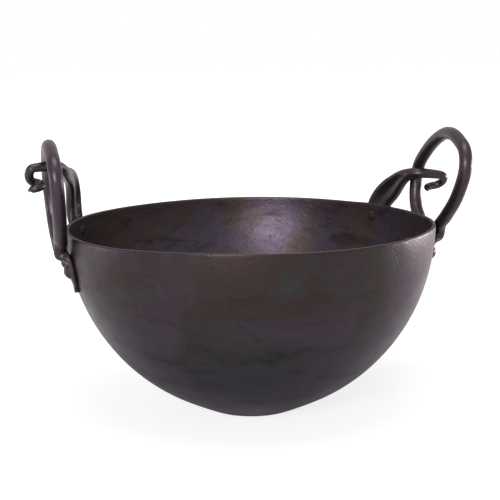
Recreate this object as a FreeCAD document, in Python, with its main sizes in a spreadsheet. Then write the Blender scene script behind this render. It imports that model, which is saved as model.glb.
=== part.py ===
"""A kadai: a deep round iron pan with two forged loop handles.

Each handle is two bars.  A loop stands on two riveted feet, and a hook is riveted
farther back on the wall, rises through the loop and ends in a curl.

Frame, in millimetres: the origin is the centre of the flat base, +Z is up, +X runs
from the centre to the right handle and +Y points to the side that carries the hooks.
"""
import FreeCAD, Part
import math
import os
import Sketcher
from FreeCAD import Placement, Rotation, Vector

UP = Vector(0, 0, 1)
RIGHT = 1
LEFT = -1
SIDE_NAMES = {RIGHT: "right", LEFT: "left"}

# ----------------------------------------------------------------- driving sizes
SIZES = (
    ("rim_radius", 127.0, "outer radius of the bowl at its rim"),
    ("bowl_depth", 131.0, "height of the rim above the base"),
    ("wall", 2.2, "thickness of the sheet"),
    ("cone_radius", 421.0, "radius of the nearly straight lower wall"),
    ("base_radius", 28.5, "radius of the flat base before its edge is rounded"),
    ("base_gap", 2.02, "how far that edge lies outside the circle of the upper wall"),
    ("base_round", 25.0, "rounding between the base and the lower wall"),
    ("lip_round", 0.9, "rounding of both edges of the rim"),
    ("bar_diameter", 9.0, "thickness of a loop's bar"),
    ("bar_standoff", 0.8, "air between a loop's bar and the rim"),
    ("loop_lean", 4.6, "outward lean of a loop, in degrees"),
    ("loop_rise", 61.7, "height of a loop's crown corner above the rim"),
    ("loop_crown", -22.6, "place of that corner along the rim"),
    ("loop_front_reach", 59.3, "how far the loop's front corner stands forward"),
    ("loop_front_rise", 47.9, "height of the front corner above the rim"),
    ("loop_knee_reach", 46.5, "how far the knee of the front leg stands forward"),
    ("loop_knee_rise", 18.0, "height of that knee above the rim"),
    ("loop_shoulder_reach", 9.3, "how far back the shoulder of the loop stands"),
    ("loop_shoulder_rise", 51.3, "height of that shoulder above the rim"),
    ("loop_back_reach", 38.7, "how far the loop's back corner stands back"),
    ("loop_back_rise", 29.2, "height of the back corner above the rim"),
    ("loop_heel_reach", 35.0, "how far back the heel of the back leg stands"),
    ("loop_heel_rise", 2.0, "height of that heel above the rim"),
    ("front_foot_along", -14.4, "place of the front foot along the rim"),
    ("back_foot_along", 19.9, "place of the back foot along the rim"),
    ("ankle_drop", 8.5, "drop from the rim to the bend above a foot"),
    ("foot_root_drop", 13.5, "drop from the rim to where a leg begins to flatten"),
    ("foot_rivet_drop", 24.5, "drop from the rim to a foot's rivet"),
    ("foot_tip_drop", 39.0, "drop from the rim to the tip of a foot"),
    ("foot_width", 14.5, "width of a foot at its rivet"),
    ("foot_thickness", 3.3, "thickness of a foot at its rivet"),
    ("tip_width", 4.0, "width of a foot at its tip"),
    ("tip_thickness", 1.6, "thickness of a foot at its tip"),
    ("palm_rivet_drop", 10.0, "drop from the rim to a palm's rivet"),
    ("palm_end_drop", 24.0, "drop from the rim to the lower end of a palm"),
    ("palm_width", 20.0, "width of a palm"),
    ("palm_thickness", 3.4, "thickness of a palm at its rivet"),
    ("neck_depth", 8.0, "depth of the grooved neck above a palm"),
    ("neck_groove", 3.2, "depth of the groove in the neck"),
    ("right_palm_along", 63.3, "how far back the right palm's rivet stands"),
    ("right_rim_along", 60.8, "how far back the right hook passes the rim"),
    ("right_neck_reach", 3.3, "how far the right neck stands outside the rim beside it"),
    ("right_neck_along", 51.3, "how far back the right neck stands"),
    ("right_neck_rise", 12.0, "height of the right neck above the rim"),
    ("right_arm_reach", 2.4, "how far the right arm stands outside the rim beside it"),
    ("right_arm_along", 41.0, "how far back the right arm stands"),
    ("right_arm_rise", 20.0, "height of the right arm above the rim"),
    ("right_elbow_reach", 3.4, "how far the right elbow stands outside the rim beside it"),
    ("right_elbow_along", 31.2, "how far back the right elbow stands"),
    ("right_elbow_rise", 25.3, "height of the right elbow above the rim"),
    ("right_gate_reach", 7.5, "how far out the right hook passes through its loop"),
    ("right_gate_along", 25.0, "how far back the right hook passes through its loop"),
    ("right_gate_rise", 26.3, "height at which the right hook passes through its loop"),
    ("right_curl_reach", 18.5, "how far the right curl's centre stands out from the rim radius"),
    ("right_curl_along", 28.0, "how far back the right curl's centre stands"),
    ("right_curl_rise", 25.0, "height of the start of the right curl"),
    ("right_curl_turn", 250.0, "turn of the right curl, in degrees"),
    ("left_palm_along", 58.1, "how far back the left palm's rivet stands"),
    ("left_rim_along", 58.4, "how far back the left hook passes the rim"),
    ("left_neck_reach", 3.4, "how far the left neck stands outside the rim beside it"),
    ("left_neck_along", 58.7, "how far back the left neck stands"),
    ("left_neck_rise", 13.0, "height of the left neck above the rim"),
    ("left_arm_reach", -0.4, "how far the left arm stands outside the rim beside it"),
    ("left_arm_along", 45.3, "how far back the left arm stands"),
    ("left_arm_rise", 28.6, "height of the left arm above the rim"),
    ("left_elbow_reach", -0.6, "how far the left elbow stands outside the rim beside it"),
    ("left_elbow_along", 19.0, "how far back the left elbow stands"),
    ("left_elbow_rise", 37.6, "height of the left elbow above the rim"),
    ("left_gate_reach", 7.0, "how far out the left hook passes through its loop"),
    ("left_gate_along", -1.0, "how far back the left hook passes through its loop"),
    ("left_gate_rise", 44.2, "height at which the left hook passes through its loop"),
    ("left_curl_reach", 18.6, "how far the left curl's centre stands out from the rim radius"),
    ("left_curl_along", 0.0, "how far back the left curl's centre stands"),
    ("left_curl_rise", 44.0, "height of the start of the left curl"),
    ("left_curl_turn", 400.0, "turn of the left curl, in degrees"),
    ("hook_diameter", 7.4, "thickness of a hook where it goes through the loop"),
    ("curl_diameter", 6.4, "thickness of a hook at the outermost point of its curl"),
    ("hook_tip_diameter", 5.4, "thickness of a hook at its tip"),
    ("right_curl_length", 6.3, "half length of the right curl, outward"),
    ("left_curl_length", 4.0, "half length of the left curl, outward"),
    ("curl_width", 4.4, "half width of a curl, along the rim"),
    ("right_curl_drop", 9.2, "drop of the first half turn of the right curl"),
    ("left_curl_drop", 11.2, "drop of the first half turn of the left curl"),
    ("curl_tail_drop", 2.8, "drop of the second half turn of a curl"),
    ("shank_diameter", 4.0, "diameter of a rivet's shank"),
    ("shank_clearance", 0.05, "air round a rivet's shank"),
    ("head_diameter", 10.5, "diameter of a rivet's outer head"),
    ("head_height", 3.4, "height of a rivet's outer head"),
    ("button_diameter", 9.0, "diameter of the inner head of a foot's rivet"),
    ("button_height", 2.4, "height of the inner head of a foot's rivet"),
    ("peen_diameter", 8.0, "diameter of the inner head of a palm's rivet"),
    ("peen_height", 0.4, "height of the inner head of a palm's rivet"),
    ("seat_margin", 0.6, "flat round a rivet's outer head"),
    ("seat_depth", 0.3, "depth to which the metal is hammered flat under that head"),
)

# The upper wall is upright at the rim and passes base_gap inside the base's edge.
DERIVED = (
    ("flank_radius",
     "=((rim_radius - base_radius) ^ 2 + bowl_depth ^ 2 - base_gap ^ 2)"
     " / (2 * (rim_radius - base_radius + base_gap))",
     "radius of the upper wall, seen from the side"),
)

doc = FreeCAD.newDocument("kadai")
sheet = doc.addObject("Spreadsheet::Sheet", "sizes")
for row, (alias, value, note) in enumerate(SIZES + DERIVED, start=1):
    sheet.set("A%d" % row, alias)
    sheet.set("B%d" % row, str(value))
    sheet.set("C%d" % row, note)
    sheet.setAlias("B%d" % row, alias)
doc.recompute()


def size(alias):
    """A driving size, read from the sheet."""
    return float(sheet.get(alias))


# ---------------------------------------------------------------- the wall's form
def bearing_at(along):
    """The bearing, in degrees, of the rim's point that stands this far along from the axis."""
    return math.degrees(math.asin(along / size("rim_radius")))


def wall_point(bearing, drop, side, lift=0.0):
    """A point lift outside the wall, drop below the rim, and the wall's normal there.

    bearing is measured at the axis of the bowl, from the handle axis towards +Y.
    """
    flank_centre = size("rim_radius") - size("flank_radius")
    slope = math.asin(drop / size("flank_radius"))
    reach = flank_centre + (size("flank_radius") + lift) * math.cos(slope)
    height = size("bowl_depth") - (size("flank_radius") + lift) * math.sin(slope)
    turn = math.radians(bearing)
    point = Vector(side * reach * math.cos(turn), reach * math.sin(turn), height)
    normal = Vector(side * math.cos(slope) * math.cos(turn),
                    math.cos(slope) * math.sin(turn),
                    -math.sin(slope))
    return point, normal


def lower_arc_points():
    """Junction of the two wall arcs and a point inside each, in the outline's plane."""
    upper = Vector(size("rim_radius") - size("flank_radius"), size("bowl_depth"), 0)
    corner = Vector(size("base_radius"), 0, 0)
    reach = size("cone_radius") - size("flank_radius")
    gap = corner.sub(upper)
    # The lower arc's centre is reach away from the upper centre and cone_radius from the corner.
    along = (reach ** 2 - size("cone_radius") ** 2 + gap.Length ** 2) / (2 * gap.Length)
    across = math.sqrt(reach ** 2 - along ** 2)
    direction = Vector(gap).normalize()
    sideways = Vector(-direction.y, direction.x, 0)
    lower = upper.add(direction * along).sub(sideways * across)
    if lower.y < upper.y:
        lower = upper.add(direction * along).add(sideways * across)
    junction = upper.add(upper.sub(lower).normalize() * size("flank_radius"))
    return upper, lower, junction, corner


# ------------------------------------------------------------------------ the bowl
def origin_plane(body, role):
    """One of a body's own origin planes or axes."""
    return [item for item in body.Origin.OriginFeatures if item.Role == role][0]


def make_bowl_body():
    """The bowl as a turned sheet: solid outline, hollowed to one wall, lip rounded."""
    body = doc.addObject("PartDesign::Body", "bowl_body")
    outline = body.newObject("Sketcher::SketchObject", "bowl_outline")
    outline.AttachmentSupport = [(origin_plane(body, "XZ_Plane"), "")]
    outline.MapMode = "FlatFace"

    upper, lower, junction, corner = lower_arc_points()
    rim = Vector(size("rim_radius"), size("bowl_depth"), 0)
    foot = Vector(0, 0, 0)
    crown = Vector(0, size("bowl_depth"), 0)
    plane_normal = Vector(0, 0, 1)

    def arc(centre, radius, start, end):
        first = math.atan2(start.y - centre.y, start.x - centre.x)
        last = math.atan2(end.y - centre.y, end.x - centre.x)
        return Part.ArcOfCircle(Part.Circle(centre, plane_normal, radius), first, last)

    base = outline.addGeometry(Part.LineSegment(foot, corner), False)
    cone = outline.addGeometry(arc(lower, size("cone_radius"), corner, junction), False)
    flank = outline.addGeometry(arc(upper, size("flank_radius"), junction, rim), False)
    lid = outline.addGeometry(Part.LineSegment(rim, crown), False)
    axis = outline.addGeometry(Part.LineSegment(crown, foot), False)

    START, END, CENTRE, ROOT, ROOT_POINT = 1, 2, 3, -1, 1
    add = outline.addConstraint
    add(Sketcher.Constraint("Coincident", base, START, ROOT, ROOT_POINT))
    add(Sketcher.Constraint("Coincident", base, END, cone, START))
    add(Sketcher.Constraint("Tangent", cone, END, flank, START))
    add(Sketcher.Constraint("Coincident", flank, END, lid, START))
    add(Sketcher.Constraint("Coincident", lid, END, axis, START))
    add(Sketcher.Constraint("Coincident", axis, END, base, START))
    add(Sketcher.Constraint("Horizontal", base))
    add(Sketcher.Constraint("Horizontal", lid))
    add(Sketcher.Constraint("Vertical", axis))
    add(Sketcher.Constraint("Horizontal", flank, CENTRE, flank, END))
    for name, kind, where, value in (
            ("rim_radius", "DistanceX", (ROOT, ROOT_POINT, flank, END), rim.x),
            ("bowl_depth", "DistanceY", (ROOT, ROOT_POINT, flank, END), rim.y),
            ("base_radius", "DistanceX", (ROOT, ROOT_POINT, base, END), corner.x),
            ("flank_radius", "Radius", (flank,), size("flank_radius")),
            ("cone_radius", "Radius", (cone,), size("cone_radius"))):
        index = add(Sketcher.Constraint(kind, *where, value))
        outline.renameConstraint(index, name)
        outline.setExpression("Constraints." + name, "sizes." + name)
    doc.recompute()

    turned = body.newObject("PartDesign::Revolution", "turned")
    turned.Profile = outline
    turned.ReferenceAxis = (outline, ["V_Axis"])
    turned.Angle = 360.0
    doc.recompute()

    rounded = body.newObject("PartDesign::Fillet", "rounded_base")
    rounded.Base = (turned, [circle_edge(turned.Shape, 0.0)])
    rounded.setExpression("Radius", "sizes.base_round")
    doc.recompute()

    hollow = body.newObject("PartDesign::Thickness", "hollow")
    hollow.Base = (rounded, [flat_face(rounded.Shape, size("bowl_depth"))])
    hollow.setExpression("Value", "sizes.wall")
    hollow.Mode = 0
    hollow.Join = 0
    hollow.Reversed = True
    doc.recompute()

    lip = body.newObject("PartDesign::Fillet", "lip")
    rim_edges = circle_edges(hollow.Shape, size("bowl_depth"))
    lip.Base = (hollow, rim_edges)
    lip.setExpression("Radius", "sizes.lip_round")
    body.Tip = lip
    doc.recompute()
    return body, rounded.Shape.copy()


def circle_edges(shape, height):
    """Names of the edges that lie level at a height."""
    names = []
    for index, edge in enumerate(shape.Edges, start=1):
        box = edge.BoundBox
        level = abs(box.ZMin - height) < 0.01 and abs(box.ZMax - height) < 0.01
        if level and box.XLength > 1.0:
            names.append("Edge%d" % index)
    return names


def circle_edge(shape, height):
    """Name of the one edge that lies level at a height."""
    return circle_edges(shape, height)[0]


def flat_face(shape, height):
    """Name of the flat face at a height."""
    for index, face in enumerate(shape.Faces, start=1):
        box = face.BoundBox
        if abs(box.ZMin - height) < 0.01 and abs(box.ZMax - height) < 0.01:
            return "Face%d" % index
    raise ValueError("no flat face at %s" % height)


# ------------------------------------------------------------------ forged bars
SECTION_POINTS = 20
# A smooth skin draws in from its poles; this much swell brings a round bar back to size.
SWELL = 3 / (2 + math.cos(2 * math.pi / SECTION_POINTS))


class Station:
    """One section of a forged bar: where it lies, how it is turned and how big it is.

    outward is the way the section's depth points.  Without it the section keeps the turn
    of the one before.
    """

    def __init__(self, centre, width, depth, outward=None, fullness=2.0, groove=0.0):
        self.centre = centre
        self.width = width
        self.depth = depth
        self.outward = outward
        self.fullness = fullness
        self.groove = groove

    def toward(self, other, share, centre):
        """A section at centre whose sizes lie a share of the way from here to the other."""
        return Station(centre,
                       self.width + share * (other.width - self.width),
                       self.depth + share * (other.depth - self.depth),
                       None,
                       self.fullness + share * (other.fullness - self.fullness),
                       self.groove + share * (other.groove - self.groove))


def signed_power(value, power):
    return math.copysign(abs(value) ** power, value)


def section_points(station, heading, deep, swell=1.0):
    """Points round a section square to the bar's heading.

    fullness 2 gives an ellipse and larger values a bar with rounded corners.  A groove
    runs down the middle of the side that faces away from deep.
    """
    wide = heading.cross(deep)
    points = []
    for index in range(SECTION_POINTS):
        turn = 2 * math.pi * index / SECTION_POINTS
        across = station.width / 2 * signed_power(math.cos(turn), 2 / station.fullness)
        rise = station.depth / 2 * signed_power(math.sin(turn), 2 / station.fullness)
        if rise < 0:
            rise += station.groove * math.exp(-(4.5 * across / station.width) ** 2)
        points.append(station.centre.add(wide * (swell * across)).add(deep * (swell * rise)))
    return points


def section_wire(points):
    """The closed outline through a section's points."""
    outline = Part.BSplineCurve()
    outline.interpolate(Points=points, PeriodicFlag=True)
    return Part.Wire([outline.toShape()])


def square_to(direction, heading):
    """The part of a direction that is square to a heading."""
    return direction.sub(heading * direction.dot(heading)).normalize()


def path_through(points):
    """A smooth curve through points."""
    path = Part.BSplineCurve()
    path.interpolate(points)
    return path


def forged_sections(stations, path, swell=1.0):
    """The points round each of a bar's sections, each square to the path."""
    sections = []
    deep = stations[0].outward
    for station in stations:
        heading = Vector(path.tangent(path.parameter(station.centre))[0]).normalize()
        deep = square_to(station.outward or deep, heading)
        sections.append(section_points(station, heading, deep, swell))
    return sections


def drawn_out(anchors, path, first, spacing):
    """Anchors on a path, with sections about spacing apart after the one numbered first."""
    stations = anchors[:first]
    for before, after in zip(anchors[first:], anchors[first + 1:]):
        start = path.parameter(before.centre)
        span = path.parameter(after.centre) - start
        steps = max(1, round(path.length(start, start + span) / spacing))
        stations.append(before)
        for step in range(1, steps):
            share = step / steps
            stations.append(before.toward(after, share, path.value(start + share * span)))
    return stations + [anchors[-1]]


def lofted(sections):
    """A solid through sections."""
    return Part.makeLoft([section_wire(points) for points in sections], True, False, False)


def skinned(sections):
    """A solid under a smooth skin whose poles are the sections' points, with flat ends."""
    rows = len(sections)
    skin = Part.BSplineSurface()
    skin.buildFromPolesMultsKnots(
        sections,
        [4] + [1] * (rows - 4) + [4], [1] * (SECTION_POINTS + 1),
        list(range(rows - 2)), list(range(SECTION_POINTS + 1)),
        False, True, 3, 3)
    side = skin.toShape()
    rims = [edge for edge in side.Edges if edge.isClosed()]
    ends = [Part.Face(Part.Wire([rim])).reversed() for rim in rims]
    return Part.Solid(Part.Shell([side] + ends))


def rounded_path(corners, spacing, share=0.48):
    """Points along straight runs joined by tangent arcs, about spacing apart."""
    edges = []
    start = corners[0]
    for before, corner, after in zip(corners, corners[1:], corners[2:]):
        back = before.sub(corner)
        ahead = after.sub(corner)
        trim = share * min(back.Length, ahead.Length)
        enter = corner.add(Vector(back).normalize() * trim)
        leave = corner.add(Vector(ahead).normalize() * trim)
        half_turn = (math.pi - back.getAngle(ahead)) / 2
        radius = trim / math.tan(half_turn)
        inward = Vector(back).normalize().add(Vector(ahead).normalize()).normalize()
        middle = corner.add(inward * (radius / math.cos(half_turn) - radius))
        edges.append(Part.LineSegment(start, enter).toShape())
        edges.append(Part.Arc(enter, middle, leave).toShape())
        start = leave
    edges.append(Part.LineSegment(start, corners[-1]).toShape())
    path = Part.Wire(edges)
    return path.discretize(Number=int(path.Length / spacing) + 1)


# ------------------------------------------------------------------------- loops
BAR_SPACING = 9.0


def loop_point(along, height):
    """A point of the right loop's leaning plane, along the rim and height above it."""
    lean = height * math.tan(math.radians(size("loop_lean")))
    reach = size("rim_radius") + size("bar_standoff") + size("bar_diameter") / 2 + lean
    return Vector(reach, along, size("bowl_depth") + height)


def foot_along(bearing):
    """How far along the rim a foot stands."""
    rivet, _ = wall_point(bearing, size("foot_rivet_drop"), RIGHT)
    return rivet.y


def foot_stations(bearing):
    """The flattened foot below a leg, from under its root to its tip."""
    sink = 0.5
    rivet = size("foot_rivet_drop")
    root = size("foot_root_drop")
    tip = size("foot_tip_drop")
    width = size("foot_width")
    thickness = size("foot_thickness")
    flat = size("head_diameter") / 2
    plan = (
        ((root + rivet - flat) / 2, 0.93 * width, 1.6 * thickness, 2.4),
        (rivet - flat, width, 1.04 * thickness, 3.0),
        (rivet, width, thickness, 3.4),
        (rivet + flat, 0.9 * width, 0.95 * thickness, 3.2),
        ((rivet + flat + tip) / 2, (width + size("tip_width")) / 2.4, 0.8 * thickness, 2.8),
        (tip, size("tip_width"), size("tip_thickness"), 2.4))
    stations = []
    for drop, wide, thick, fullness in plan:
        centre, normal = wall_point(bearing, drop, RIGHT, (thick - sink) / 2)
        stations.append(Station(centre, wide, thick + sink, normal, fullness))
    return stations


def seated_foot(foot, bearing, envelope):
    """A foot bedded on the wall, flattened under its rivet and drilled."""
    drop = size("foot_rivet_drop")
    foot = foot.cut(envelope)
    foot = foot.cut(rivet_seat(bearing, drop, size("foot_thickness"), RIGHT))
    return foot.cut(rivet_hole(bearing, drop, RIGHT))


def make_loop(envelope):
    """The right loop, from the tip of its front foot over the crown to its back foot."""
    front_bearing = bearing_at(size("front_foot_along"))
    back_bearing = bearing_at(size("back_foot_along"))
    front = foot_along(front_bearing)
    back = foot_along(back_bearing)
    corners = [
        loop_point(front, -size("foot_root_drop")),
        loop_point(front, -size("ankle_drop")),
        loop_point(-size("loop_knee_reach"), size("loop_knee_rise")),
        loop_point(-size("loop_front_reach"), size("loop_front_rise")),
        loop_point(size("loop_crown"), size("loop_rise")),
        loop_point(size("loop_shoulder_reach"), size("loop_shoulder_rise")),
        loop_point(size("loop_back_reach"), size("loop_back_rise")),
        loop_point(size("loop_heel_reach"), size("loop_heel_rise")),
        loop_point(back, -size("ankle_drop")),
        loop_point(back, -size("foot_root_drop"))]
    lean = math.radians(size("loop_lean"))
    plane_normal = Vector(math.cos(lean), 0, -math.sin(lean))
    bar = size("bar_diameter")
    front_foot = list(reversed(foot_stations(front_bearing)))
    rod = [Station(point, bar, bar, plane_normal) for point in rounded_path(corners, BAR_SPACING)]
    back_foot = foot_stations(back_bearing)
    stations = front_foot + rod + back_foot
    sections = forged_sections(stations, path_through([station.centre for station in stations]))
    # The back foot is drilled by itself and then joined to the rest at a shared outline.
    joint = len(front_foot) + len(rod) - 1
    front_part = seated_foot(lofted(sections[:joint + 1]), front_bearing, envelope)
    back_part = seated_foot(lofted(sections[joint:]), back_bearing, envelope)
    return front_part.fuse(back_part)


# ------------------------------------------------------------------------- hooks
STRAP_SPACING = 5.0
CURL_STEP = 20.0


def hook_point(side, place):
    """A named point of a hook, from its three sizes.

    The neck, arm and elbow stand off the rim beside them.  The gate and the curl stand off
    the rim's outermost point, as the loop does.
    """
    name = "%s_%s_" % (SIDE_NAMES[side], place)
    along = size(name + "along")
    rim = size("rim_radius")
    if place in ("neck", "arm", "elbow"):
        rim = math.sqrt(rim ** 2 - along ** 2)
    return Vector(side * (rim + size(name + "reach")),
                  along,
                  size("bowl_depth") + size(name + "rise"))


def curl_point(side, turn):
    """The centre of a curl's bar after a turn in degrees, starting on its front strand."""
    start = hook_point(side, "curl")
    name = SIDE_NAMES[side]
    angle = math.radians(turn)
    first_drop = size(name + "_curl_drop") * (1 - math.cos(min(angle, math.pi))) / 2
    second_drop = size("curl_tail_drop") * max(turn - 180.0, 0.0) / 180.0
    return Vector(start.x + side * size(name + "_curl_length") * math.sin(angle),
                  start.y - size("curl_width") * math.cos(angle),
                  start.z - first_drop - second_drop)


def palm_stations(side):
    """The flat palm on the wall, from its lower end to where the strap passes the rim."""
    sink = 0.5
    name = SIDE_NAMES[side]
    rivet = size("palm_rivet_drop")
    end = size("palm_end_drop")
    width = size("palm_width")
    thickness = size("palm_thickness")
    rim_along = size(name + "_rim_along")
    slant = (size(name + "_palm_along") - rim_along) / rivet
    plan = (
        (end, 0.6 * width, 0.64 * thickness, 2.4, 0.0),
        (end - 0.22 * (end - rivet), 0.84 * width, 0.8 * thickness, 2.8, 0.0),
        (end - 0.6 * (end - rivet), 0.98 * width, 0.94 * thickness, 3.2, 0.0),
        (rivet, width, thickness, 3.4, 0.0),
        (0.5 * rivet, width, 1.35 * thickness, 3.4, 0.1 * size("neck_groove")),
        (0.0, 0.98 * width, 0.8 * size("neck_depth"), 3.2, 0.5 * size("neck_groove")))
    stations = []
    for drop, wide, thick, fullness, groove in plan:
        bearing = bearing_at(rim_along + slant * drop)
        centre, normal = wall_point(bearing, drop, side, (thick - sink) / 2)
        stations.append(Station(centre, wide, thick + sink, normal, fullness, groove))
    return stations


def curl_stations(side, path):
    """The curl's round bar past the loop, tapering to a rounded tip."""
    last_turn = size(SIDE_NAMES[side] + "_curl_turn")
    steps = round(last_turn / CURL_STEP)
    full = size("curl_diameter")
    tip = size("hook_tip_diameter")
    stations = []
    for step in range(1, steps + 1):
        thick = full + step / steps * (tip - full)
        stations.append(Station(curl_point(side, last_turn * step / steps), thick, thick))
    end = stations[-1].centre
    heading = Vector(path.tangent(path.LastParameter)[0]).normalize()
    for angle in (30, 55, 75):
        turn = math.radians(angle)
        thick = tip * math.cos(turn)
        centre = end.add(heading * (tip / 2 * math.sin(turn)))
        stations.append(Station(centre, thick, thick))
    return stations


def make_hook(side, envelope):
    """A hook, from the lower end of its palm through the loop to the tip of its curl."""
    width = size("palm_width")
    depth = size("neck_depth")
    groove = size("neck_groove")
    bar = size("hook_diameter")
    palm = palm_stations(side)
    anchors = palm + [
        Station(hook_point(side, "neck"), 0.9 * width, depth, None, 3.0, groove),
        Station(hook_point(side, "arm"), 0.64 * width, depth, None, 2.6, 0.7 * groove),
        Station(hook_point(side, "elbow"), 1.12 * bar, 1.08 * bar, None, 2.2),
        Station(hook_point(side, "gate"), bar, bar)]
    last_turn = size(SIDE_NAMES[side] + "_curl_turn")
    steps = round(last_turn / CURL_STEP)
    curl_points = [curl_point(side, last_turn * step / steps) for step in range(steps + 1)]
    path = path_through([anchor.centre for anchor in anchors] + curl_points)
    stations = drawn_out(anchors, path, len(palm) - 1, STRAP_SPACING) + curl_stations(side, path)
    strap = skinned(forged_sections(stations, path, SWELL)).cut(envelope)
    bearing = bearing_at(size(SIDE_NAMES[side] + "_palm_along"))
    drop = size("palm_rivet_drop")
    strap = strap.cut(rivet_seat(bearing, drop, size("palm_thickness"), side))
    return strap.cut(rivet_hole(bearing, drop, side))


# ------------------------------------------------------------------------ rivets
def rivet_placement(bearing, drop, side):
    """Places a rivet so that its own +Z leaves the wall and z = 0 is the wall's outside."""
    point, normal = wall_point(bearing, drop, side)
    return Placement(point, Rotation(UP, normal))


def placed_cylinder(radius, low, high, placement):
    """A cylinder along a rivet, its seam turned away from the seam of the bar it cuts."""
    cylinder = Part.makeCylinder(radius, high - low)
    cylinder.Placement = placement.multiply(Placement(Vector(0, 0, low), Rotation(UP, 90)))
    return cylinder


def rivet_hole(bearing, drop, side):
    """The hole for a shank through a foot or a palm."""
    reach = size("foot_thickness") + size("palm_thickness")
    radius = size("shank_diameter") / 2 + size("shank_clearance")
    return placed_cylinder(radius, -reach, reach, rivet_placement(bearing, drop, side))


def rivet_seat(bearing, drop, thickness, side):
    """What is hammered flat under a rivet's outer head."""
    radius = size("head_diameter") / 2 + size("seat_margin")
    low = thickness - size("seat_depth")
    return placed_cylinder(radius, low, low + size("bar_diameter"),
                           rivet_placement(bearing, drop, side))


def make_rivet_body(label, place):
    """A rivet: a shank with a domed head outside and a button hammered up inside.

    The button's underside meets the hollow of the wall along its edge.
    """
    if place == "palm":
        outer_lift = "sizes.palm_thickness - sizes.seat_depth"
        inner_radius = "sizes.peen_diameter / 2"
        button = "sizes.peen_height"
    else:
        outer_lift = "sizes.foot_thickness - sizes.seat_depth"
        inner_radius = "sizes.button_diameter / 2"
        button = "sizes.button_height"
    hollow = "(sizes.rim_radius * 0.96 - sizes.wall)"
    sag = "(%s - sqrt(%s ^ 2 - (%s) ^ 2))" % (hollow, hollow, inner_radius)
    inner_lift = "sizes.wall + " + sag

    body = doc.addObject("PartDesign::Body", label)
    outline = body.newObject("Sketcher::SketchObject", label + "_outline")
    outline.AttachmentSupport = [(origin_plane(body, "XZ_Plane"), "")]
    outline.MapMode = "FlatFace"
    low = -size("wall") - 0.1
    high = 3.0
    shank = size("shank_diameter") / 2
    head = size("head_diameter") / 2
    inner = size("button_diameter") / 2
    corners = [(0, high + 3), (head, high), (shank, high), (shank, low), (inner, low), (0, low - 1)]
    corners = [Vector(x, y, 0) for x, y in corners]

    def dome(rim, top):
        """An arc centred on the axis, from the rim of a head to its top."""
        rise = top.y - rim.y
        centre_y = rim.y + (rise * rise - rim.x * rim.x) / (2 * rise)
        centre = Vector(0, centre_y, 0)
        radius = abs(top.y - centre_y)
        first = math.atan2(rim.y - centre_y, rim.x)
        last = math.pi / 2
        if rise < 0:
            first, last = -math.pi / 2, first
        return Part.ArcOfCircle(Part.Circle(centre, Vector(0, 0, 1), radius), first, last)

    outer = outline.addGeometry(dome(corners[1], corners[0]), False)
    under = outline.addGeometry(Part.LineSegment(corners[1], corners[2]), False)
    stem = outline.addGeometry(Part.LineSegment(corners[2], corners[3]), False)
    step = outline.addGeometry(Part.LineSegment(corners[3], corners[4]), False)
    peen = outline.addGeometry(dome(corners[4], corners[5]), False)
    axis = outline.addGeometry(Part.LineSegment(corners[5], corners[0]), False)

    START, END, CENTRE, ROOT, VERTICAL = 1, 2, 3, -1, -2
    add = outline.addConstraint
    add(Sketcher.Constraint("Coincident", outer, START, under, START))
    add(Sketcher.Constraint("Coincident", under, END, stem, START))
    add(Sketcher.Constraint("Coincident", stem, END, step, START))
    add(Sketcher.Constraint("Coincident", step, END, peen, END))
    add(Sketcher.Constraint("Coincident", peen, START, axis, START))
    add(Sketcher.Constraint("Coincident", axis, END, outer, END))
    add(Sketcher.Constraint("PointOnObject", axis, START, VERTICAL))
    add(Sketcher.Constraint("PointOnObject", axis, END, VERTICAL))
    add(Sketcher.Constraint("PointOnObject", outer, CENTRE, VERTICAL))
    add(Sketcher.Constraint("PointOnObject", peen, CENTRE, VERTICAL))
    add(Sketcher.Constraint("Horizontal", under))
    add(Sketcher.Constraint("Vertical", stem))
    add(Sketcher.Constraint("Horizontal", step))
    for name, kind, where, value, bound in (
            ("head_radius", "DistanceX", (ROOT, 1, under, START), head, "sizes.head_diameter / 2"),
            ("shank_radius", "DistanceX", (ROOT, 1, stem, START), shank, "sizes.shank_diameter / 2"),
            ("button_radius", "DistanceX", (ROOT, 1, step, END), inner, inner_radius),
            ("outer_lift", "DistanceY", (ROOT, 1, under, START), high, outer_lift),
            ("inner_lift", "DistanceY", (stem, END, ROOT, 1), -low, inner_lift),
            ("head_height", "DistanceY", (outer, START, outer, END), 3.0, "sizes.head_height"),
            ("button_height", "DistanceY", (axis, START, step, END), 1.0, button)):
        index = add(Sketcher.Constraint(kind, *where, value))
        outline.renameConstraint(index, name)
        outline.setExpression("Constraints." + name, bound)
    doc.recompute()

    turned = body.newObject("PartDesign::Revolution", label + "_turned")
    turned.Profile = outline
    turned.ReferenceAxis = (outline, ["V_Axis"])
    turned.Angle = 360.0
    body.Tip = turned
    doc.recompute()
    return body


# ------------------------------------------------------------------------- build
def rivet_spots():
    """Where each handle's three rivets stand."""
    spots = []
    for side, name in ((RIGHT, "right"), (LEFT, "left")):
        for place in ("front", "back"):
            bearing = bearing_at(size(place + "_foot_along"))
            spots.append(("%s_%s_rivet" % (name, place), "foot", bearing, side))
        spots.append((name + "_palm_rivet", "palm", bearing_at(size(name + "_palm_along")), side))
    return spots


def formed(label, shape):
    """A document object that holds a shape made here from the sheet's sizes."""
    item = doc.addObject("Part::Feature", label)
    item.Shape = shape
    item.Label = label
    return item


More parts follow.
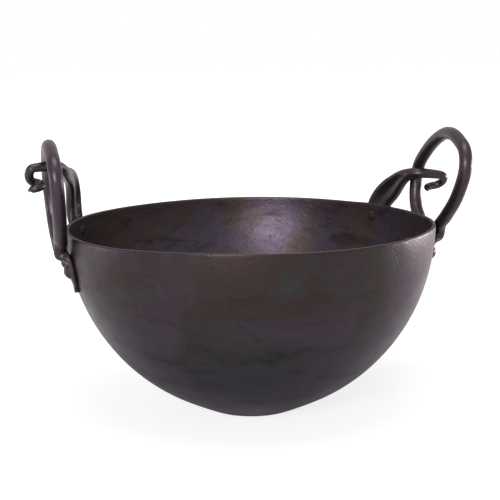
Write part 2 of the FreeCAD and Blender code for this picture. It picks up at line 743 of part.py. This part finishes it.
bowl_body, envelope = make_bowl_body()
nodes = []
holes = []
for label, place, bearing, side in rivet_spots():
    rivet_drop = size(place + "_rivet_drop")
    rivet = make_rivet_body(label, place)
    rivet.Placement = rivet_placement(bearing, rivet_drop, side)
    nodes.append(rivet)
    hole = doc.addObject("Part::Cylinder", label + "_hole")
    hole.setExpression("Radius", "sizes.shank_diameter / 2 + sizes.shank_clearance")
    hole.setExpression("Height", "sizes.wall * 4")
    start = Placement(Vector(0, 0, -2 * size("wall")), Rotation())
    hole.Placement = rivet.Placement.multiply(start)
    holes.append(hole)

drill = doc.addObject("Part::Compound", "drill")
drill.Links = holes
bowl = doc.addObject("Part::Cut", "bowl")
bowl.Base = bowl_body
bowl.Tool = drill
nodes.append(bowl)

right_loop = formed("right_loop", make_loop(envelope))
left_loop = doc.addObject("Part::Mirroring", "left_loop")
left_loop.Source = right_loop
left_loop.Normal = Vector(1, 0, 0)
nodes += [right_loop, left_loop]
nodes.append(formed("right_hook", make_hook(RIGHT, envelope)))
nodes.append(formed("left_hook", make_hook(LEFT, envelope)))
doc.recompute()

for item in doc.Objects:
    if "Invalid" in item.State or "Error" in item.State:
        raise ValueError("%s did not compute: %s" % (item.Label, item.State))

os.makedirs("parts", exist_ok=True)
for item in nodes:
    shape = item.Shape
    if shape.isNull() or not shape.isValid() or len(shape.Solids) != 1:
        raise ValueError("%s is not one valid solid" % item.Label)
    shape.exportStep("parts/%s.step" % item.Label)
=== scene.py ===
"""The looks of a forged iron kadai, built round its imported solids.

The bowl is a beaten skin of its own.  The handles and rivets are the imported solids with
materials.  Lengths are in metres.
"""
import math

import bpy
from mathutils import Matrix, Vector, noise


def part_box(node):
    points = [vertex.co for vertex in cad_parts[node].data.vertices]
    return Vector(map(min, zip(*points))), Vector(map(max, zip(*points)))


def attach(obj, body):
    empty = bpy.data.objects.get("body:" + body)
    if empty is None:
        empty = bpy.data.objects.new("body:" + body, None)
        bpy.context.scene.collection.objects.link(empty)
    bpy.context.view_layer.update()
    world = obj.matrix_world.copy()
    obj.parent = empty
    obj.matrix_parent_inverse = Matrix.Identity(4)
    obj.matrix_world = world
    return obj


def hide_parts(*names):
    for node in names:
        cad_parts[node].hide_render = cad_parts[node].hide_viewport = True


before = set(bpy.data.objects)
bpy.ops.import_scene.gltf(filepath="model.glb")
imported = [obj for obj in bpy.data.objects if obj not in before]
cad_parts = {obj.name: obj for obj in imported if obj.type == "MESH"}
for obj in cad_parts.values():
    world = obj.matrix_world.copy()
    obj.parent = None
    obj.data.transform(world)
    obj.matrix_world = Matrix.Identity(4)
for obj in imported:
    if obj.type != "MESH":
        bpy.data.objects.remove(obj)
scene = bpy.context.scene


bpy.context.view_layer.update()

MILLIMETRE = 0.001

# The bowl's sizes, as in the part's source.
RIM_RADIUS = 0.127
RIM_HEIGHT = 0.131
FLANK_RADIUS = 0.1336  # the arc of the upper wall
CONE_RADIUS = 0.421  # the flatter arc of the lower wall
BASE_RADIUS = 0.0285
BASE_ROUND = 0.025
WALL = 0.0022
LIP_ROUND = 0.0009

# The handles lie along X.  The camera and the lamps stand turned from them by this much.
HANDLE_TURN = math.radians(12.5)


# ------------------------------------------------------------------------ camera
# Solved from the outlines of the rim and the base.  Distance and shifts are in rim radii.
CAMERA_DISTANCE = 7.0
CAMERA_TILT = math.radians(10.23)
CAMERA_ROLL = math.radians(-0.71)
SIDE_SHIFT = -0.0044
RISE_SHIFT = -0.1536
FOCAL_PIXELS = 1281.4
PICTURE_PIXELS = 500.0
SENSOR_MM = 36.0
CLIP_RANGE = (0.01, 50.0)


def place_camera():
    """The camera, placed and turned about the rim's centre."""
    level = math.cos(CAMERA_TILT)
    rise = math.sin(CAMERA_TILT)
    place = Vector((SIDE_SHIFT, -CAMERA_DISTANCE * level,
                    CAMERA_DISTANCE * rise + RISE_SHIFT))
    forward = Vector((0, level, -rise))
    right = Vector((1, 0, 0))
    up = Vector((0, rise, level))
    rolled_right = right * math.cos(CAMERA_ROLL) + up * math.sin(CAMERA_ROLL)
    rolled_up = up * math.cos(CAMERA_ROLL) - right * math.sin(CAMERA_ROLL)
    basis = Matrix((rolled_right, rolled_up, -forward)).transposed().to_4x4()
    spot = place * RIM_RADIUS + Vector((0, 0, RIM_HEIGHT))
    turn = Matrix.Rotation(-HANDLE_TURN, 4, "Z")
    data = bpy.data.cameras.new("camera")
    data.sensor_width = SENSOR_MM
    data.lens = SENSOR_MM * FOCAL_PIXELS / PICTURE_PIXELS
    data.clip_start, data.clip_end = CLIP_RANGE
    camera = bpy.data.objects.new("camera", data)
    camera.matrix_world = turn @ Matrix.Translation(spot) @ basis
    scene.collection.objects.link(camera)
    scene.camera = camera


# --------------------------------------------------------------------- node help
def color_socket(sockets, name):
    """The colour socket of that name, where a mix node has others called the same."""
    return next(item for item in sockets if item.name == name and item.type == "RGBA")


class Nodes:
    """Short calls for a material's node tree."""

    def __init__(self, tree):
        self.tree = tree
        tree.nodes.clear()

    def add(self, kind, **values):
        node = self.tree.nodes.new(kind)
        for name, value in values.items():
            setattr(node, name, value)
        return node

    def link(self, source, target):
        self.tree.links.new(source, target)

    def put(self, value, target):
        """Give an input a number, a colour or another node's output."""
        if isinstance(value, tuple):
            target.default_value = (*value, 1.0)
        elif isinstance(value, float):
            target.default_value = value
        else:
            self.link(value, target)

    def noise(self, coords, field):
        """A cloud of noise.  Its field is scale, detail, roughness and distortion."""
        node = self.add("ShaderNodeTexNoise")
        for name, value in zip(("Scale", "Detail", "Roughness", "Distortion"), field):
            node.inputs[name].default_value = value
        self.link(coords, node.inputs["Vector"])
        return node.outputs["Fac"]

    def ramp(self, value, stops):
        """A value carried from the level at one stop to the level at the other."""
        node = self.add("ShaderNodeValToRGB")
        for element, (position, level) in zip(node.color_ramp.elements, stops):
            element.position = position
            element.color = (level, level, level, 1.0)
        self.link(value, node.inputs["Fac"])
        return node.outputs["Color"]

    def mix(self, factor, first, second):
        """The first colour at a factor of 0 and the second at 1."""
        node = self.add("ShaderNodeMix", data_type="RGBA")
        self.put(factor, node.inputs["Factor"])
        self.put(first, color_socket(node.inputs, "A"))
        self.put(second, color_socket(node.inputs, "B"))
        return color_socket(node.outputs, "Result")

    def math(self, operation, *values, clamp=False):
        node = self.add("ShaderNodeMath", operation=operation, use_clamp=clamp)
        for value, target in zip(values, node.inputs):
            self.put(value, target)
        return node.outputs[0]

    def bump(self, height, size, normal=None):
        """Relief on top of a normal.  Its size is strength and distance."""
        node = self.add("ShaderNodeBump")
        node.inputs["Strength"].default_value, node.inputs["Distance"].default_value = size
        self.link(height, node.inputs["Height"])
        if normal is not None:
            self.link(normal, node.inputs["Normal"])
        return node.outputs["Normal"]

    def surface(self, kind, share, first, second):
        """End the tree in the first shader at a share of 0 and the second at 1."""
        mixer = self.add("ShaderNodeMixShader")
        for source, target in zip((share, first, second), mixer.inputs):
            self.link(source, target)
        self.link(mixer.outputs[0], self.add(kind).inputs["Surface"])


# ---------------------------------------------------------------- the bowl's skin
AROUND = 320  # points in each ring
OUTLINE_STEP = 0.0018
LEAST_FLAT_STEPS = 2
LEAST_ARC_STEPS = 4
LIP_STEPS = 5
POLE_RADIUS = 1e-9  # a ring narrower than this is one point on the axis

# The rim rises and dips by waves: how many round it, height in mm and phase in degrees.
RIM_WAVES = ((1, 0.14, -84.0), (2, 0.47, -166.0), (4, 0.39, -94.0), (5, 0.15, 137.0))
WAVE_START = 0.086  # height where the waves begin
WAVE_SPAN = 0.045

# Two sizes of dent, each with its noise's scale and its depth.
DENT_SCALE, DENT_DEPTH = 42.0, 0.00030
FACET_SCALE, FACET_DEPTH = 95.0, 0.00010
FACET_SHIFT = Vector((3.1, 7.7, 1.3))
BASE_FADE = 0.02  # the dents fade out below this height
RIVET_REACH = 0.024  # from a rivet's middle: no dents to half of this, full ones beyond it
AXIS_REACH = 1e-6  # nearer to the axis than this, a point has no direction of its own


def arc_points(centre, radius, start, end, count):
    """Points of an arc in the outline's plane, its last point left out."""
    points = []
    for index in range(count):
        turn = start + (end - start) * index / count
        points.append((centre[0] + radius * math.cos(turn),
                       centre[1] + radius * math.sin(turn)))
    return points


def wall_arcs():
    """Centres and turning points of the outline: base rounding, lower wall, upper wall."""
    upper = Vector((RIM_RADIUS - FLANK_RADIUS, RIM_HEIGHT))
    corner = Vector((BASE_RADIUS, 0.0))
    reach = CONE_RADIUS - FLANK_RADIUS
    gap = corner - upper
    along = (reach ** 2 - CONE_RADIUS ** 2 + gap.length ** 2) / (2 * gap.length)
    across = math.sqrt(reach ** 2 - along ** 2)
    ahead = gap.normalized()
    lower = upper + ahead * along + Vector((ahead.y, -ahead.x)) * across
    # The rounding touches the base line and the lower wall from inside.
    span = math.sqrt((CONE_RADIUS - BASE_ROUND) ** 2 - (lower.y - BASE_ROUND) ** 2)
    rounding = Vector((lower.x + span, BASE_ROUND))
    blend = math.atan2(rounding.y - lower.y, rounding.x - lower.x)
    junction = math.atan2(upper.y - lower.y, upper.x - lower.x)
    return upper, lower, rounding, blend, junction


def wall_side(inset, top):
    """One side of the wall from the axis up, inset from the outside."""
    upper, lower, rounding, blend, junction = wall_arcs()
    flank = FLANK_RADIUS - inset
    flat = max(int(rounding.x / OUTLINE_STEP), LEAST_FLAT_STEPS)
    points = [(rounding.x * index / flat, inset) for index in range(flat)]
    arcs = ((rounding, BASE_ROUND - inset, -math.pi / 2, blend),
            (lower, CONE_RADIUS - inset, blend, junction),
            (upper, flank, junction, math.asin((top - upper.y) / flank)))
    for centre, radius, start, end in arcs:
        count = max(int((end - start) * radius / OUTLINE_STEP), LEAST_ARC_STEPS)
        points += arc_points(centre, radius, start, end, count)
    return points


def bowl_outline():
    """The wall's outline from the inside of the base over the lip to the outside."""
    edge = RIM_HEIGHT - LIP_ROUND
    inner_centre = (RIM_RADIUS - WALL + LIP_ROUND, edge)
    outer_centre = (RIM_RADIUS - LIP_ROUND, edge)
    lip = arc_points(inner_centre, LIP_ROUND, math.pi, math.pi / 2, LIP_STEPS)
    lip += arc_points(outer_centre, LIP_ROUND, math.pi / 2, 0.0, LIP_STEPS)
    lip.append((RIM_RADIUS, edge))
    return wall_side(WALL, edge) + lip + wall_side(0.0, edge)[::-1]


def ring_points(radius, height):
    """The points of one ring, or the one point of a pole."""
    if radius < POLE_RADIUS:
        return [Vector((0, 0, height))]
    turns = [2 * math.pi * index / AROUND for index in range(AROUND)]
    return [Vector((radius * math.cos(turn), radius * math.sin(turn), height))
            for turn in turns]


def ring_faces(inner, outer):
    """Faces between two neighbouring rings of point numbers."""
    faces = []
    for index in range(AROUND):
        following = (index + 1) % AROUND
        if len(inner) == 1:
            faces.append((inner[0], outer[index], outer[following]))
        elif len(outer) == 1:
            faces.append((inner[index], outer[0], inner[following]))
        else:
            faces.append((inner[index], outer[index], outer[following], inner[following]))
    return faces


def rivet_spots():
    """The middle of each rivet, where the skin has to lie on the solid."""
    boxes = [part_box(name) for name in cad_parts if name.endswith("rivet")]
    return [(low + high) / 2 for low, high in boxes]


def clamped(value):
    """A value held between 0 and 1."""
    return min(max(value, 0.0), 1.0)


def rim_wave(turn):
    """How far the rim rises or dips, as a beaten edge does."""
    return MILLIMETRE * sum(size * math.cos(count * turn - math.radians(phase))
                            for count, size, phase in RIM_WAVES)


def beat(point, spots):
    """Give a point of the skin its dents and the rim's waves, but none at the rivets."""
    turn = math.atan2(point.y, point.x)
    reach = math.hypot(point.x, point.y)
    direction = point.normalized() if reach > AXIS_REACH else Vector((0, 0, -1))
    spot = direction * RIM_RADIUS
    dent = 0.5 + 0.5 * noise.noise(spot * DENT_SCALE)
    facet = 0.5 + 0.5 * noise.noise(spot * FACET_SCALE + FACET_SHIFT)
    depth = DENT_DEPTH * dent + FACET_DEPTH * facet
    nearest = min((point - middle).length for middle in spots) / RIVET_REACH
    held = clamped(nearest * 2.0 - 1.0)
    inward = Vector((-point.x, -point.y, 0.0)) / max(reach, AXIS_REACH)
    rise = clamped((point.z - WAVE_START) / WAVE_SPAN) ** 2
    point += inward * depth * held * clamped(point.z / BASE_FADE)
    point.z += rim_wave(turn) * rise * held


def make_bowl():
    """The bowl as a beaten skin: shallow dents and a slightly wavy rim."""
    points = []
    faces = []
    inner = None
    for radius, height in bowl_outline():
        ring = ring_points(radius, height)
        outer = range(len(points), len(points) + len(ring))
        if inner is not None:
            faces += ring_faces(inner, outer)
        points += ring
        inner = outer
    spots = rivet_spots()
    for point in points:
        beat(point, spots)
    mesh = bpy.data.meshes.new("beaten_bowl")
    mesh.from_pydata(points, [], faces)
    mesh.update()
    mesh.shade_smooth()
    bowl = bpy.data.objects.new("beaten_bowl", mesh)
    scene.collection.objects.link(bowl)
    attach(bowl, "root")
    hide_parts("bowl")
    return bowl


# --------------------------------------------------------------------- materials
METALLIC = 0.72
SPECULAR_LEVEL = 0.35
SPECULAR_TINT = (1.0, 0.92, 0.97)
ROUGHNESS_SPREAD = 0.30
STRETCH = (1.0, 1.0, 2.6)  # flattens patches, as if they ran round the bowl
STEEL_BLUE = (0.028, 0.034, 0.038)

# Fields of noise: scale, detail, roughness and distortion.
DRIFT = (14.0, 4.0, 0.55, 0.4)
PATCHES = (24.0, 6.0, 0.6, 0.5)
BLOTCHES = (17.0, 4.0, 0.55, 0.8)
STEEL = (15.0, 5.0, 0.6, 0.9)
SOOT = (40.0, 5.0, 0.62, 0.4)
SPECKS = (520.0, 3.0, 0.6, 0.0)
HAMMERING = (75.0, 2.0, 0.4, 0.0)
GRAIN = (6.0, 0.65, 0.0)  # without its scale, which is the material's own
PIT_SCALE = 210.0

# Shares of a colour, each from the level at one value of its field to that at another.
DRIFT_HEIGHT = 0.09  # how far the drift lifts the border between warm above and the painted floor reflection below
# The cool share low down is a painted reflection of the white floor.
PAINTED_REFLECTION_SHARE = ((0.085, 1.0), (0.15, 0.0))
VIOLET_SHARE = ((0.50, 0.0), (0.68, 0.8))
STEEL_SHARE = ((0.50, 0.0), (0.66, 0.75))
STAIN_SHARE = ((0.40, 0.0), (0.60, 1.0))
PATCH_SHARE = ((0.56, 0.0), (0.72, 0.85))
SOOT_SHARE = ((0.58, 0.0), (0.70, 0.55))
SPECK_SHARE = ((0.60, 0.0), (0.70, 0.85))
PIT_EDGE = ((0.10, 0.0), (0.22, 1.0))
INNER_EDGE = ((0.0, 1.0), (0.01, 0.0))

# Reliefs: strength and distance.
HAMMERING_RELIEF = (0.20, 0.0015)
PIT_RELIEF = (0.22, 0.0004)
GRAIN_RELIEF = (0.24, 0.0004)


def inner_share(nodes, parts):
    """1 where a surface faces the bowl's axis, as its inside does, and 0 elsewhere."""
    facing = nodes.add("ShaderNodeSeparateXYZ")
    nodes.link(nodes.add("ShaderNodeNewGeometry").outputs["Normal"], facing.inputs[0])
    across = nodes.math("MULTIPLY", facing.outputs["X"], parts.outputs["X"])
    along = nodes.math("MULTIPLY", facing.outputs["Y"], parts.outputs["Y"])
    return nodes.ramp(nodes.math("ADD", across, along), INNER_EDGE)


def patina(name, warm, painted_floor_reflection, violet, shade, rough, grain_scale, inside=None):
    """Blackened iron: warm above and a painted cool reflection of the floor below, with
    violet blotches and dark shade.

    With a pair of colours for the inside, surfaces that face the axis are stained with
    those, and the outside has patches of steel blue.
    """
    material = bpy.data.materials.new(name)
    material.use_nodes = True
    nodes = Nodes(material.node_tree)
    place = nodes.add("ShaderNodeTexCoord").outputs["Object"]
    stretched = nodes.add("ShaderNodeMapping")
    stretched.inputs["Scale"].default_value = STRETCH
    nodes.link(place, stretched.inputs["Vector"])
    flat = stretched.outputs["Vector"]
    parts = nodes.add("ShaderNodeSeparateXYZ")
    nodes.link(place, parts.inputs[0])

    level = nodes.math("MULTIPLY_ADD", nodes.noise(place, DRIFT), DRIFT_HEIGHT,
                       parts.outputs["Z"])
    patches = nodes.noise(flat, PATCHES)
    blotches = nodes.noise(place, BLOTCHES)
    # Low down the cool colour is a painted reflection of the white floor.
    color = nodes.mix(nodes.ramp(level, PAINTED_REFLECTION_SHARE), warm, painted_floor_reflection)
    color = nodes.mix(nodes.ramp(blotches, VIOLET_SHARE), color, violet)
    if inside:
        steel = nodes.noise(flat, STEEL)
        color = nodes.mix(nodes.ramp(steel, STEEL_SHARE), color, STEEL_BLUE)
        stained = nodes.mix(nodes.ramp(blotches, STAIN_SHARE), *inside)
        color = nodes.mix(inner_share(nodes, parts), color, stained)
    for field, share in ((patches, PATCH_SHARE),
                         (nodes.noise(flat, SOOT), SOOT_SHARE),
                         (nodes.noise(flat, SPECKS), SPECK_SHARE)):
        color = nodes.mix(nodes.ramp(field, share), color, shade)

    pits = nodes.add("ShaderNodeTexVoronoi", feature="F1")
    pits.inputs["Scale"].default_value = PIT_SCALE
    nodes.link(place, pits.inputs["Vector"])
    grain = nodes.noise(place, (grain_scale, *GRAIN))
    normal = nodes.bump(nodes.noise(place, HAMMERING), HAMMERING_RELIEF)
    normal = nodes.bump(nodes.ramp(pits.outputs["Distance"], PIT_EDGE), PIT_RELIEF, normal)
    normal = nodes.bump(grain, GRAIN_RELIEF, normal)

    shader = nodes.add("ShaderNodeBsdfPrincipled")
    roughness = nodes.math("MULTIPLY_ADD", patches, ROUGHNESS_SPREAD,
                           rough - ROUGHNESS_SPREAD / 2)
    for input_name, value in (("Base Color", color),
                              ("Metallic", METALLIC),
                              ("Specular IOR Level", SPECULAR_LEVEL),
                              ("Specular Tint", SPECULAR_TINT),
                              ("Roughness", roughness),
                              ("Normal", normal)):
        nodes.put(value, shader.inputs[input_name])
    output = nodes.add("ShaderNodeOutputMaterial")
    nodes.link(shader.outputs["BSDF"], output.inputs["Surface"])
    return material


# -------------------------------------------------------------------- the studio
WHITE = (1.0, 1.0, 1.0)

# Strengths of the world's light on the pan and of the backdrop, where 1 is plain white.
AMBIENT = 0.30
BACKDROP = 1.0
WORLD_GLOSSY_SHARE = 0.85

# The floor keeps the shadow near the pan and fades to plain white away from it.  Each
# share goes from its level at one distance from the middle to that at another.
FLOOR_REACH = 6.0
FLOOR_COLOR = (0.86, 0.86, 0.86)
FLOOR_GLOW = 1.42
FLOOR_CAMERA_SHARE = ((0.16, 0.56), (0.42, 1.0))
FLOOR_GLOSSY_SHARE = ((0.07, 0.03), (0.34, 0.62))

# Lamps: name, azimuth and elevation in degrees, distance, width, height, watts and colour.
# Azimuth 0 is on the camera's side.
LAMPS = (
    ("front", -16.0, 15.0, 1.4, 0.46, 0.42, 14.5, (0.97, 0.91, 1.0)),
    ("top", 10.0, 78.0, 1.2, 0.9, 0.6, 8.0, WHITE),
    ("left", -96.0, -3.0, 1.3, 0.5, 0.08, 2.0, (1.0, 0.86, 1.0)),
    ("right", 116.0, -2.0, 1.3, 0.5, 0.10, 9.0, (1.0, 0.95, 0.97)),
)
LAMP_TARGET = Vector((0, 0, 0.1))


def backdrop_share(nodes, camera_share, glossy_share):
    """How much of the plain white backdrop the camera and reflections see."""
    rays = nodes.add("ShaderNodeLightPath")
    camera_ray = nodes.math("MULTIPLY", rays.outputs["Is Camera Ray"], camera_share)
    glossy_ray = nodes.math("MULTIPLY", rays.outputs["Is Glossy Ray"], glossy_share)
    clear_ray = nodes.math("MULTIPLY", rays.outputs["Is Transmission Ray"], camera_share)
    share = nodes.math("ADD", camera_ray, glossy_ray, clamp=True)
    return nodes.math("ADD", share, clear_ray, clamp=True)


def glowing(nodes, kind, color, strength):
    """A shader that gives off light of its own."""
    node = nodes.add(kind)
    nodes.put(color, node.inputs["Color"])
    nodes.put(strength, node.inputs["Strength"])
    return node.outputs[0]


def make_world():
    """A dim even light, with a plain white backdrop for the camera and reflections."""
    world = bpy.data.worlds.new("studio")
    world.use_nodes = True
    scene.world = world
    nodes = Nodes(world.node_tree)
    nodes.surface("ShaderNodeOutputWorld",
                  backdrop_share(nodes, 1.0, WORLD_GLOSSY_SHARE),
                  glowing(nodes, "ShaderNodeBackground", WHITE, AMBIENT),
                  glowing(nodes, "ShaderNodeBackground", WHITE, BACKDROP))


def make_floor():
    """A matt white floor that takes the pan's shadow."""
    mesh = bpy.data.meshes.new("floor")
    signs = ((-1, -1), (1, -1), (1, 1), (-1, 1))
    mesh.from_pydata([(x * FLOOR_REACH, y * FLOOR_REACH, 0) for x, y in signs],
                     [], [(0, 1, 2, 3)])
    floor = bpy.data.objects.new("floor", mesh)
    scene.collection.objects.link(floor)
    material = bpy.data.materials.new("floor_white")
    material.use_nodes = True
    nodes = Nodes(material.node_tree)
    matt = nodes.add("ShaderNodeBsdfDiffuse")
    nodes.put(FLOOR_COLOR, matt.inputs["Color"])
    away = nodes.add("ShaderNodeVectorMath", operation="LENGTH")
    nodes.link(nodes.add("ShaderNodeTexCoord").outputs["Object"], away.inputs[0])
    camera_share = nodes.ramp(away.outputs["Value"], FLOOR_CAMERA_SHARE)
    glossy_share = nodes.ramp(away.outputs["Value"], FLOOR_GLOSSY_SHARE)
    nodes.surface("ShaderNodeOutputMaterial",
                  backdrop_share(nodes, camera_share, glossy_share),
                  matt.outputs[0],
                  glowing(nodes, "ShaderNodeEmission", WHITE, FLOOR_GLOW))
    mesh.materials.append(material)


def area_light(name, azimuth, elevation, distance, width, height, power, color):
    """A soft box that faces the pan."""
    turn = math.radians(azimuth) - HANDLE_TURN
    rise = math.radians(elevation)
    away = Vector((math.sin(turn) * math.cos(rise), -math.cos(turn) * math.cos(rise),
                   math.sin(rise)))
    data = bpy.data.lights.new(name, "AREA")
    data.shape = "RECTANGLE"
    data.size = width
    data.size_y = height
    data.energy = power
    data.color = color
    light = bpy.data.objects.new(name, data)
    light.location = LAMP_TARGET + away * distance
    light.rotation_euler = (-away).to_track_quat("-Z", "Y").to_euler()
    scene.collection.objects.link(light)


# --------------------------------------------------------------------- the scene
place_camera()

bowl_iron = patina("bowl_iron",
                   warm=(0.031, 0.022, 0.019),
                   # the cool colour low on the bowl is a painted reflection of the white
                   # floor
                   painted_floor_reflection=(0.029, 0.032, 0.036),
                   violet=(0.044, 0.031, 0.045),
                   shade=(0.015, 0.012, 0.012),
                   rough=0.38,
                   grain_scale=330.0,
                   inside=((0.060, 0.042, 0.036), (0.052, 0.042, 0.058)))
bar_iron = patina("bar_iron",
                  # the cool colour low on the bars is a painted reflection of the white
                  # floor
                  warm=(0.048, 0.037, 0.038),
                  painted_floor_reflection=(0.046, 0.036, 0.038),
                  violet=(0.054, 0.040, 0.054),
                  shade=(0.022, 0.018, 0.019),
                  rough=0.34,
                  grain_scale=520.0)

for node_name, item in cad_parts.items():
    item.data.materials.clear()
    item.data.materials.append(bowl_iron if node_name == "bowl" else bar_iron)
beaten = make_bowl()
beaten.data.materials.append(bowl_iron)

make_world()
make_floor()
for lamp in LAMPS:
    area_light(*lamp)

scene.view_settings.view_transform = "Standard"
